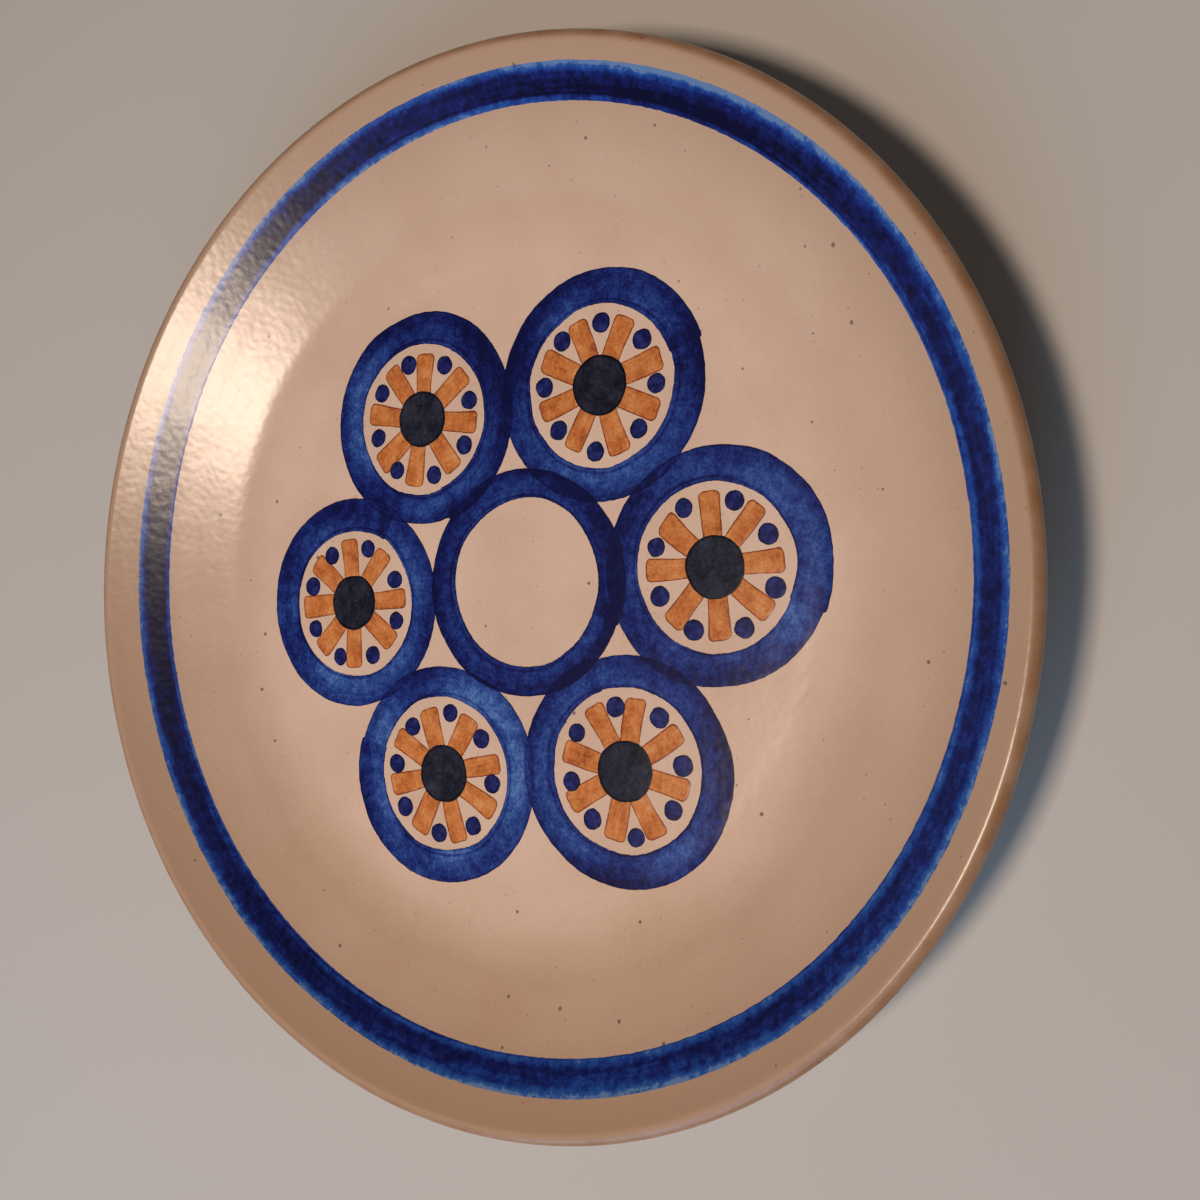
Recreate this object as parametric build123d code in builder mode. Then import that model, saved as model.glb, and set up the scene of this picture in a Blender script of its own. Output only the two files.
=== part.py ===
"""Hand painted stoneware dinner plate.

One fired piece made in layers: a thrown clay body on a turned foot ring, a glaze
coat on the face, on the back and inside the foot ring, and brushed decoration laid
on the glazed face. The decoration is a wheel-banded rim line and, in the well, a
plain ring inside six roundels, each with an eye, eight petals and eight dots.

Units are millimetres. The origin is at the centre of the plane that the foot ring
stands on, with +Z up through the middle of the well.
"""

from build123d import *

import os
from math import cos, radians, sin, tan

# ---------------------------------------------------------------- form
RIM_RADIUS = 131.0        # over the glaze, at the widest point of the lip
WELL_RADIUS = 90.6        # where the well floor and the wall would meet if the bend were sharp
WALL_SLOPE = 28.4         # degrees above level, the straight flare from the bend to the lip
BEND_RADIUS = 42.0        # the soft turn from floor to wall, on the face
THICKNESS = 4.8           # floor and wall over both glaze coats; the lip is a half round
GLAZE = 0.5               # each glaze coat

# ---------------------------------------------------------------- foot ring
FOOT_HEIGHT = 3.2         # from the standing plane to the glazed underside
FOOT_SETBACK = 16.1       # from WELL_RADIUS in to the outer edge of the standing face
FOOT_WIDTH = 5.0          # the bare standing face
FOOT_DRAFT = 15.0         # degrees, each side of the ring widens upwards
FOOT_EDGE = 0.8           # rounding of the standing face
GLAZE_LINE = 1.2          # the glaze is wiped off the foot ring below this height

# ---------------------------------------------------------------- decoration
PAINT = 0.3               # brushed colour on the glaze
PAINT_CLEARANCE = 0.1     # between the glaze and the underside of the colour
BAND_MARGIN = 8.8         # bare glaze from the rim to the band
BAND_WIDTH = 7.8
BAND_CENTRE = (1.6, -2.2)     # the plate sat this far off the banding wheel's axis
MOTIF_CENTRE = (0.4, -1.5)    # the middle of the six roundels
CENTRE_RING_CENTRE = (1.5, -3.3)
CENTRE_RING_WIDTH = 7.5
CENTRE_RING_OVERLAP = 3.0     # how far the centre ring reaches over each roundel
ROUNDEL_COUNT = 6
ROUNDEL_START = 36.0      # degrees, the first roundel; the others follow clockwise
ROUNDEL_OUTER = 28.3
ROUNDEL_RING_WIDTH = 8.3
ROUNDEL_OVERLAP = 2.5     # how far each roundel reaches over the next
EYE_RADIUS = 7.5
PETAL_COUNT = 8
PETAL_GAP = 0.3           # between neighbouring petals where they leave the eye
PETAL_MARGIN = 2.3        # bare glaze from the petal's tip to the roundel's ring
PETAL_CORNER = 1.3
DOT_RADIUS = 2.4
DOT_MARGIN = 2.0          # bare glaze from the dot to the roundel's ring
PETAL_TURNS = (-6.0, 21.0, 6.0, -11.0, 18.0, 6.0)   # degrees from +X to a petal, set by eye

# ---------------------------------------------------------------- worked out
SLOPE = radians(WALL_SLOPE)
WELL_TOP = FOOT_HEIGHT + THICKNESS
FLAT_RADIUS = WELL_RADIUS - BEND_RADIUS * tan(SLOPE / 2)
BEND_CENTRE = (FLAT_RADIUS, WELL_TOP + BEND_RADIUS)
LIP_RADIUS = THICKNESS / 2
LIP_X = RIM_RADIUS - LIP_RADIUS
LIP_Z = WELL_TOP + (LIP_X - WELL_RADIUS) * tan(SLOPE) - LIP_RADIUS / cos(SLOPE)
RIM_HEIGHT = LIP_Z + LIP_RADIUS
FOOT_OUTER = WELL_RADIUS - FOOT_SETBACK
FOOT_INNER = FOOT_OUTER - FOOT_WIDTH
BAND_OUTER = RIM_RADIUS - BAND_MARGIN
ROUNDEL_ORBIT = (2 * ROUNDEL_OUTER - ROUNDEL_OVERLAP) / (2 * sin(radians(180 / ROUNDEL_COUNT)))
ROUNDEL_INNER = ROUNDEL_OUTER - ROUNDEL_RING_WIDTH
CENTRE_RING_OUTER = ROUNDEL_ORBIT - ROUNDEL_OUTER + CENTRE_RING_OVERLAP
PETAL_REACH = ROUNDEL_INNER - PETAL_MARGIN
PETAL_WIDTH = 2 * EYE_RADIUS * sin(radians(180 / PETAL_COUNT)) - PETAL_GAP
DOT_ORBIT = ROUNDEL_INNER - DOT_MARGIN - DOT_RADIUS


def on_bend(radius):
    """Return where the bend's arc of this radius runs into the straight wall."""
    return (BEND_CENTRE[0] + radius * sin(SLOPE), BEND_CENTRE[1] - radius * cos(SLOPE))


def on_lip(inset, side):
    """Return where the lip leaves the wall, on the face (side 1) or the back (side -1)."""
    radius = LIP_RADIUS - inset
    return (LIP_X - side * radius * sin(SLOPE), LIP_Z + side * radius * cos(SLOPE))


def draw_face(inset):
    """Draw the upper surface at a depth under the glaze and return its two ends."""
    radius = BEND_RADIUS + inset
    floor = Line((0, WELL_TOP - inset), (FLAT_RADIUS, WELL_TOP - inset))
    CenterArc(BEND_CENTRE, radius, -90, WALL_SLOPE)
    wall = Line(on_bend(radius), on_lip(inset, 1))
    return floor @ 0, wall @ 1


def draw_back(inset):
    """Draw the wall's lower surface from the lip to the level underside."""
    radius = BEND_RADIUS + THICKNESS - inset
    Line(on_lip(inset, -1), on_bend(radius))
    CenterArc(BEND_CENTRE, radius, -90, WALL_SLOPE)


def foot_side(height, inset, side):
    """Return a point on the ring's outer (side 1) or inner (side -1) flank."""
    edge = FOOT_OUTER if side > 0 else FOOT_INNER
    return (edge + side * (height * tan(radians(FOOT_DRAFT)) + GLAZE - inset), height)


def save(piece, name):
    """Label a finished piece and write it under its own name."""
    piece.part.label = name
    export_step(piece.part, f"parts/{name}.step")


os.makedirs("parts", exist_ok=True)

# ---------------------------------------------------------------- clay body
with BuildPart() as clay_body:
    with BuildSketch(Plane.XZ):
        with BuildLine():
            axis_top, _ = draw_face(GLAZE)
            CenterArc((LIP_X, LIP_Z), LIP_RADIUS - GLAZE, WALL_SLOPE - 90, 180)
            draw_back(GLAZE)
            underside = FOOT_HEIGHT + GLAZE
            Polyline(
                (FLAT_RADIUS, underside),
                foot_side(underside, GLAZE, 1),
                foot_side(0, GLAZE, 1),
                foot_side(0, GLAZE, -1),
                foot_side(underside, GLAZE, -1),
                (0, underside),
                axis_top,
            )
        make_face()
        fillet(vertices().sort_by(Axis.Y)[:2], FOOT_EDGE)
    revolve(axis=Axis.Z)
save(clay_body, "clay_body")

# ---------------------------------------------------------------- glaze coats
with BuildPart() as glaze_face:
    with BuildSketch(Plane.XZ):
        with BuildLine():
            top, _ = draw_face(0)
            bottom, _ = draw_face(GLAZE)
            CenterArc((LIP_X, LIP_Z), LIP_RADIUS, 0, 90 + WALL_SLOPE)
            CenterArc((LIP_X, LIP_Z), LIP_RADIUS - GLAZE, 0, 90 + WALL_SLOPE)
            Line((LIP_X + LIP_RADIUS, LIP_Z), (LIP_X + LIP_RADIUS - GLAZE, LIP_Z))
            Line(top, bottom)
        make_face()
    revolve(axis=Axis.Z)
save(glaze_face, "glaze_face")

with BuildPart() as glaze_back:
    with BuildSketch(Plane.XZ):
        with BuildLine():
            draw_back(0)
            draw_back(GLAZE)
            CenterArc((LIP_X, LIP_Z), LIP_RADIUS, 0, WALL_SLOPE - 90)
            CenterArc((LIP_X, LIP_Z), LIP_RADIUS - GLAZE, 0, WALL_SLOPE - 90)
            Line((LIP_X + LIP_RADIUS, LIP_Z), (LIP_X + LIP_RADIUS - GLAZE, LIP_Z))
            Polyline(
                (FLAT_RADIUS, FOOT_HEIGHT),
                foot_side(FOOT_HEIGHT, 0, 1),
                foot_side(GLAZE_LINE, 0, 1),
                foot_side(GLAZE_LINE, GLAZE, 1),
                foot_side(FOOT_HEIGHT + GLAZE, GLAZE, 1),
                (FLAT_RADIUS, FOOT_HEIGHT + GLAZE),
            )
        make_face()
    revolve(axis=Axis.Z)
save(glaze_back, "glaze_back")

with BuildPart() as glaze_base:
    with BuildSketch(Plane.XZ):
        with BuildLine():
            Polyline(
                (0, FOOT_HEIGHT),
                foot_side(FOOT_HEIGHT, 0, -1),
                foot_side(GLAZE_LINE, 0, -1),
                foot_side(GLAZE_LINE, GLAZE, -1),
                foot_side(FOOT_HEIGHT + GLAZE, GLAZE, -1),
                (0, FOOT_HEIGHT + GLAZE),
                (0, FOOT_HEIGHT),
            )
        make_face()
    revolve(axis=Axis.Z)
save(glaze_base, "glaze_base")

# ---------------------------------------------------------------- brushed decoration
# The whole layer in which colour can lie, from the well's middle to the top of the wall.
with BuildPart() as paint_layer:
    with BuildSketch(Plane.XZ):
        with BuildLine():
            under_axis, under_rim = draw_face(-PAINT_CLEARANCE)
            over_axis, over_rim = draw_face(-PAINT_CLEARANCE - PAINT)
            Line(under_axis, over_axis)
            Line(under_rim, over_rim)
        make_face()
    revolve(axis=Axis.Z)

with BuildPart() as rim_band:
    with BuildSketch():
        with Locations(BAND_CENTRE):
            Circle(BAND_OUTER)
            Circle(BAND_OUTER - BAND_WIDTH, mode=Mode.SUBTRACT)
    extrude(amount=RIM_HEIGHT)
    add(paint_layer.part, mode=Mode.INTERSECT)
save(rim_band, "rim_band")

with BuildPart() as centre_ring:
    with BuildSketch():
        with Locations(CENTRE_RING_CENTRE):
            Circle(CENTRE_RING_OUTER)
            Circle(CENTRE_RING_OUTER - CENTRE_RING_WIDTH, mode=Mode.SUBTRACT)
    extrude(amount=RIM_HEIGHT)
    add(paint_layer.part, mode=Mode.INTERSECT)
save(centre_ring, "centre_ring")


def roundel_centre(index):
    """Return the centre of a roundel, counted clockwise from the first."""
    azimuth = radians(ROUNDEL_START - index * 360 / ROUNDEL_COUNT)
    return (
        MOTIF_CENTRE[0] + ROUNDEL_ORBIT * cos(azimuth),
        MOTIF_CENTRE[1] + ROUNDEL_ORBIT * sin(azimuth),
    )


for index in range(ROUNDEL_COUNT):
    centre = roundel_centre(index)
    turn = PETAL_TURNS[index % len(PETAL_TURNS)]
    painted_later = [roundel_centre(later) for later in range(index + 1, ROUNDEL_COUNT)]

    # Each ring gives way to the centre ring and to the rings brushed after it.
    with BuildPart() as roundel_ring:
        with BuildSketch():
            with Locations(centre):
                Circle(ROUNDEL_OUTER)
                Circle(ROUNDEL_INNER, mode=Mode.SUBTRACT)
            with Locations(CENTRE_RING_CENTRE):
                Circle(CENTRE_RING_OUTER, mode=Mode.SUBTRACT)
            if painted_later:
                with Locations(*painted_later):
                    Circle(ROUNDEL_OUTER, mode=Mode.SUBTRACT)
        extrude(amount=RIM_HEIGHT)
        add(paint_layer.part, mode=Mode.INTERSECT)
    save(roundel_ring, f"roundel_ring_{index + 1}")

    with BuildPart() as flower_eye:
        with BuildSketch():
            with Locations(centre):
                Circle(EYE_RADIUS)
        extrude(amount=RIM_HEIGHT)
        add(paint_layer.part, mode=Mode.INTERSECT)
    save(flower_eye, f"flower_eye_{index + 1}")

    # A petal is one pull of a flat brush, from the eye out to its round-cornered tip.
    with BuildPart() as petals:
        with BuildSketch():
            with Locations(centre):
                with PolarLocations(PETAL_REACH / 2, PETAL_COUNT, turn):
                    RectangleRounded(PETAL_REACH, PETAL_WIDTH, PETAL_CORNER)
                Circle(EYE_RADIUS, mode=Mode.SUBTRACT)
        extrude(amount=RIM_HEIGHT)
        add(paint_layer.part, mode=Mode.INTERSECT)
    save(petals, f"petals_{index + 1}")

    with BuildPart() as dots:
        with BuildSketch():
            with Locations(centre):
                with PolarLocations(DOT_ORBIT, PETAL_COUNT, turn + 180 / PETAL_COUNT):
                    Circle(DOT_RADIUS)
        extrude(amount=RIM_HEIGHT)
        add(paint_layer.part, mode=Mode.INTERSECT)
    save(dots, f"dots_{index + 1}")
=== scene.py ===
"""Looks of a hand painted stoneware plate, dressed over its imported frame.

The plate is thrown, turned and dipped in a cream glaze, then brushed on the wheel and
by hand: a cobalt line under the rim, a plain ring in the well and six roundels around
it, each holding an eye, eight petals and eight dots. Units are metres and the frame is
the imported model's own. Every colour is sRGB as it looks on the fired plate.
"""

import logging
import math
from collections.abc import Callable
from dataclasses import dataclass, field
from enum import Enum
from functools import cached_property
from typing import Any

import bmesh
import bpy
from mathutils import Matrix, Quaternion, Vector, noise


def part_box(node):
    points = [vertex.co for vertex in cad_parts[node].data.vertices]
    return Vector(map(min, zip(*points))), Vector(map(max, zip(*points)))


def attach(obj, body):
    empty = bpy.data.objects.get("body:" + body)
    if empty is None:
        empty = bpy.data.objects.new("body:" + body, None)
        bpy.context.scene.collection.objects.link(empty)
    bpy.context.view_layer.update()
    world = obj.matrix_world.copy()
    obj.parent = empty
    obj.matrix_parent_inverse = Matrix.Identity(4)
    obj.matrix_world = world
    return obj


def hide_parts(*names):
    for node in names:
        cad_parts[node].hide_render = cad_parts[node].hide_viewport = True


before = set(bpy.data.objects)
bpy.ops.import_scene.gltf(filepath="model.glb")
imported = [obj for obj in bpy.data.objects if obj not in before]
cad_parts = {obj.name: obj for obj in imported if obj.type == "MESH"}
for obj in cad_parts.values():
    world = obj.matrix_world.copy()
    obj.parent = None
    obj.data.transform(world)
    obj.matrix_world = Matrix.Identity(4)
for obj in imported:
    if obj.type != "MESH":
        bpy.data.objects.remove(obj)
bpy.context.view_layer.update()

MM = 0.001
BODY = "root"
log = logging.getLogger("plate")


class Slot(Enum):
    """Material slot names; here they only key the stains."""

    CLAY = "stoneware_clay"
    GLAZE = "cream_glaze"
    COBALT = "cobalt_wash"
    ORANGE = "orange_stain"
    BLACK = "blue_black"


class Coat(Enum):
    """How high each kind of brushwork stands on the glaze, so that later strokes cover."""

    RING = 0.035 * MM
    PETAL = 0.040 * MM
    DOT = 0.070 * MM
    EYE = 0.085 * MM


def linear(code: str) -> tuple[float, float, float, float]:
    """Turn an sRGB hex colour into the linear values that a shader takes.

    Args:
        code: six hex digits, red first.

    Returns:
        Linear red, green, blue and an alpha of 1.
    """
    parts = [int(code[i:i + 2], 16) / 255 for i in (0, 2, 4)]
    red, green, blue = [
        c / 12.92 if c <= 0.04045 else ((c + 0.055) / 1.055) ** 2.4 for c in parts
    ]
    return (red, green, blue, 1.0)


def smooth(low: float, high: float, value: float) -> float:
    """Rise from 0 at low to 1 at high with level ends."""
    t = min(max((value - low) / (high - low), 0.0), 1.0)
    return t * t * (3 - 2 * t)


def wander(angle: float, lobes: float, seed: float) -> float:
    """Waver between about -1 and 1 around a full turn, meeting itself at the end.

    Args:
        angle: place on the turn, in radians.
        lobes: how quickly it wavers; about this many bumps a turn.
        seed: picks another waver.

    Returns:
        The waver at that angle.
    """
    reach = lobes / math.tau
    return 1.6 * noise.noise(Vector((math.cos(angle) * reach, math.sin(angle) * reach, seed)))


# ------------------------------------------------------------------ form
@dataclass(frozen=True)
class PlateForm:
    """The turned section over the glaze, and the small unevenness of handwork."""

    wall_slope: float = math.radians(28.4)
    bend_radius: float = 42.0 * MM
    thickness: float = 4.8 * MM
    glaze: float = 0.5 * MM
    foot_height: float = 3.2 * MM
    foot_draft: float = math.radians(15)
    foot_edge: float = 0.8 * MM
    rim_radius: float = field(default_factory=lambda: max(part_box("glaze_face")[1].xy) - 0.01 * MM)
    rim_height: float = field(default_factory=lambda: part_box("glaze_face")[1].z)
    foot_outer: float = 74.5 * MM
    foot_inner: float = 69.5 * MM
    glaze_line: float = field(default_factory=lambda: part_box("glaze_base")[0].z)
    sag_depth: float = 0.35 * MM
    ring_pitch: float = 7.5 * MM
    ring_depth: float = 0.025 * MM
    lump_size: float = 13 * MM
    lump_depth: float = 0.05 * MM
    hollow_depth: float = 0.30 * MM

    @cached_property
    def well_top(self) -> float:
        """Height of the glazed floor of the well."""
        return self.foot_height + self.thickness

    @cached_property
    def lip_radius(self) -> float:
        """Radius of the half round lip."""
        return self.thickness / 2

    @cached_property
    def lip(self) -> tuple[float, float]:
        """Centre of the lip's round, as radius and height."""
        return (self.rim_radius - self.lip_radius, self.rim_height - self.lip_radius)

    @cached_property
    def bend_centre(self) -> tuple[float, float]:
        """Centre of the bend between floor and wall, as radius and height."""
        lip_x, lip_z = self.lip
        above = lip_z + self.lip_radius / math.cos(self.wall_slope) - self.well_top
        corner = lip_x - above / math.tan(self.wall_slope)
        flat = corner - self.bend_radius * math.tan(self.wall_slope / 2)
        return (flat, self.well_top + self.bend_radius)

    @cached_property
    def wall_start(self) -> float:
        """Radius at which the bend runs into the straight wall."""
        return self.bend_centre[0] + self.bend_radius * math.sin(self.wall_slope)

    def face_height(self, radius: float) -> float:
        """Height of the glazed face at a distance from the axis, inside the lip."""
        flat, bend_z = self.bend_centre
        if radius <= flat:
            return self.well_top
        if radius <= self.wall_start:
            return bend_z - math.sqrt(self.bend_radius ** 2 - (radius - flat) ** 2)
        start_z = bend_z - self.bend_radius * math.cos(self.wall_slope)
        return start_z + (radius - self.wall_start) * math.tan(self.wall_slope)

    def warp(self, x: float, y: float) -> float:
        """How far firing has let the rim down at a place; never up."""
        radius = math.hypot(x, y)
        turn = math.atan2(y, x)
        sag = 0.5 + 0.3 * math.sin(2 * turn + 0.8) + 0.2 * wander(turn, 5, 3.1)
        return -self.sag_depth * sag * smooth(90 * MM, self.rim_radius, radius)

    def ripple(self, x: float, y: float) -> float:
        """Throwing rings and soft lumps left in the glazed face."""
        radius = math.hypot(x, y)
        place = Vector((x, y, 0.0))
        fade = 1.0 - smooth(self.lip[0] - 4 * MM, self.lip[0] - 1 * MM, radius)
        drift = 2.0 * noise.noise(place / (60 * MM))
        rings = math.sin(radius * math.tau / self.ring_pitch + drift)
        rings *= smooth(60 * MM, 100 * MM, radius)
        lumps = noise.noise(place / self.lump_size)
        return fade * (self.ring_depth * rings + self.lump_depth * lumps)

    def dish(self, x: float, y: float) -> float:
        """How far the rib has hollowed the wall between the bend and the lip."""
        share = (math.hypot(x, y) - self.wall_start) / (self.lip[0] - self.wall_start)
        return -self.hollow_depth * math.sin(math.pi * min(max(share, 0.0), 1.0))

    def uneven(self, x: float, y: float) -> float:
        """How far the real face stands off its true section at a place."""
        return self.dish(x, y) + self.ripple(x, y) + self.warp(x, y)

    def face(self, x: float, y: float) -> float:
        """Height of the real, slightly uneven face at a place."""
        return self.face_height(math.hypot(x, y)) + self.uneven(x, y)


Section = list[tuple[float, float]]


def arc(centre: tuple[float, float], radius: float, start: float, end: float, parts: int) -> Section:
    """Points along an arc in the section plane.

    Args:
        centre: radius and height of the arc's centre.
        radius: the arc's own radius.
        start: first angle in degrees, 0 outwards and 90 up.
        end: last angle in degrees.
        parts: how many equal steps to take.

    Returns:
        The points, both ends included.
    """
    steps = [math.radians(start + (end - start) * i / parts) for i in range(parts + 1)]
    return [(centre[0] + radius * math.cos(a), centre[1] + radius * math.sin(a)) for a in steps]


def straight(start: tuple[float, float], end: tuple[float, float], parts: int) -> Section:
    """Points along a straight run of the section, without its ends."""
    shares = [i / parts for i in range(1, parts)]
    return [(start[0] + (end[0] - start[0]) * s, start[1] + (end[1] - start[1]) * s) for s in shares]


def spin_section(mesh: bmesh.types.BMesh, section: Section, steps: int, closed: bool,
                 centre: tuple[float, float] = (0.0, 0.0), wedges: int = 12) -> None:
    """Turn a section about an upright axis into a closed skin.

    Args:
        mesh: the mesh to add to.
        section: points as radius and height.
        steps: how many facets go round, a multiple of the wedges.
        closed: True joins the last point to the first; False is for a section whose
            ends are on the axis.
        centre: where the axis stands in plan.
        wedges: one wedge is turned and then repeated this many times, which is much
            quicker than turning every facet.
    """
    verts = [mesh.verts.new((centre[0] + r, centre[1], z)) for r, z in section]
    ends = verts[1:] + verts[:1] if closed else verts[1:]
    edges = [mesh.edges.new(pair) for pair in zip(verts, ends)]
    about = {"cent": (*centre, 0.0), "axis": (0, 0, 1)}
    wedge = math.tau / wedges
    bmesh.ops.spin(mesh, geom=verts + edges, angle=wedge, steps=steps // wedges, **about)
    bmesh.ops.spin(mesh, geom=mesh.verts[:] + mesh.edges[:] + mesh.faces[:],
                   angle=math.tau - wedge, steps=wedges - 1, use_duplicate=True, **about)
    bmesh.ops.remove_doubles(mesh, verts=mesh.verts, dist=0.001 * MM)
    bmesh.ops.recalc_face_normals(mesh, faces=mesh.faces)


def finish_piece(mesh: bmesh.types.BMesh, name: str, material: bpy.types.Material,
                 node: str) -> bpy.types.Object:
    """Turn a mesh into a shown piece that stands for a CAD node.

    Args:
        mesh: the finished mesh, in the plate's frame.
        name: the piece's name.
        material: what it is dressed in.
        node: the CAD node that it replaces.

    Returns:
        The new object.
    """
    data = bpy.data.meshes.new(name)
    mesh.to_mesh(data)
    mesh.free()
    data.shade_smooth()
    data.set_sharp_from_angle(angle=math.radians(50))
    data.materials.append(material)
    piece = bpy.data.objects.new(name, data)
    bpy.context.scene.collection.objects.link(piece)
    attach(piece, BODY)
    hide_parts(node)
    log.info("%s: %d faces, %s", name, len(data.polygons), material.name)
    return piece


# ------------------------------------------------------------------ finishes
GLAZE_PEEL = 1.9 * MM
GLAZE_PEEL_DEPTH = 0.04 * MM
GLAZE_SWELL = 7.0 * MM
GLAZE_SWELL_DEPTH = 0.05 * MM
GLAZE_ROUGHNESS = 0.24
GLAZE_SPECULAR = 0.30
# The range that nearly all of a noise value falls in.
NOISE_LOW = 0.30
NOISE_HIGH = 0.70
# The numbers that a stroke's mesh carries for its stain, see make_layers.
NUMBERS = ("edge", "wash", "other", "bristle")


class Shader:
    """A material's or the room's node tree while it is being wired."""

    def __init__(self, name: str, room: bpy.types.World | None = None) -> None:
        """Start an empty material of that name, or empty a room's tree."""
        self.material = room or bpy.data.materials.new(name)
        self.material.use_nodes = True
        self.tree = self.material.node_tree
        self.tree.nodes.clear()

    def add(self, kind: str, feeds: dict[int | str, Any] | None = None, out: int | str = 0,
            stops: list[tuple[float, str]] | None = None, **settings: Any) -> Any:
        """Add one node with its settings and links.

        Args:
            kind: the node's type.
            feeds: what goes into its inputs, a socket to link or a value to set.
            out: which output to hand back.
            stops: for a colour ramp, its positions and sRGB colours.
            settings: the node's own properties.

        Returns:
            The chosen output socket, or None for a node without outputs.
        """
        node = self.tree.nodes.new(kind)
        for key, value in settings.items():
            setattr(node, key, value)
        for key, value in (feeds or {}).items():
            if isinstance(value, bpy.types.NodeSocket):
                self.tree.links.new(value, node.inputs[key])
            else:
                node.inputs[key].default_value = value
        if stops:
            points = node.color_ramp.elements
            while len(points) < len(stops):
                points.new(0.5)
            for point, (position, code) in zip(points, stops):
                point.position = position
                point.color = linear(code)
        return node.outputs[out] if len(node.outputs) else None

    def surface(self, feeds: dict[int | str, Any]) -> bpy.types.Material:
        """Wire a Principled shader to the output and hand back the material."""
        shader = self.add("ShaderNodeBsdfPrincipled", feeds)
        self.add("ShaderNodeOutputMaterial", {"Surface": shader})
        return self.material

    def place(self) -> Any:
        """The piece's own coordinates in metres."""
        return self.add("ShaderNodeTexCoord", out="Object")

    def grain(self, size: float, detail: float = 2.0, place: Any = None, rough: float = 0.5) -> Any:
        """Soft noise with features of a real size.

        Args:
            size: the features' size in metres.
            detail: how many finer layers lie over the first.
            place: coordinates, or None for the piece's own.
            rough: how strong the finer layers are.

        Returns:
            A value from about 0.3 to 0.7, 0.5 on average.
        """
        feeds = {"Vector": place or self.place(), "Scale": 1 / size, "Detail": detail,
                 "Roughness": rough}
        return self.add("ShaderNodeTexNoise", feeds)

    def mix(self, share: Any, colour: Any, code: str) -> Any:
        """Blend a colour towards an sRGB one by a share."""
        feeds = {0: share, 6: colour, 7: linear(code)}
        return self.add("ShaderNodeMix", feeds, 2, data_type="RGBA")

    def reach(self, value: Any, low: float, high: float, to_low: float = 0.0,
              to_high: float = 1.0) -> Any:
        """Map a value smoothly from one range to another."""
        feeds = {0: value, 1: low, 2: high, 3: to_low, 4: to_high}
        return self.add("ShaderNodeMapRange", feeds, interpolation_type="SMOOTHSTEP")

    def glossed(self, colour: Any) -> bpy.types.Material:
        """Fire a colour under the glaze's gloss and orange peel.

        Args:
            colour: what the glaze or the stain in it looks like.

        Returns:
            The finished material.
        """
        peel = self.grain(GLAZE_PEEL, 0.6, rough=0.4)
        swell = self.grain(GLAZE_SWELL, 1.0)
        deep = {"Height": swell, "Distance": GLAZE_SWELL_DEPTH, "Strength": 1.0}
        fine = {"Height": peel, "Distance": GLAZE_PEEL_DEPTH, "Strength": 1.0,
                "Normal": self.add("ShaderNodeBump", deep)}
        return self.surface({
            "Base Color": colour, "Roughness": GLAZE_ROUGHNESS,
            "Specular IOR Level": GLAZE_SPECULAR, "Normal": self.add("ShaderNodeBump", fine),
        })


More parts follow.
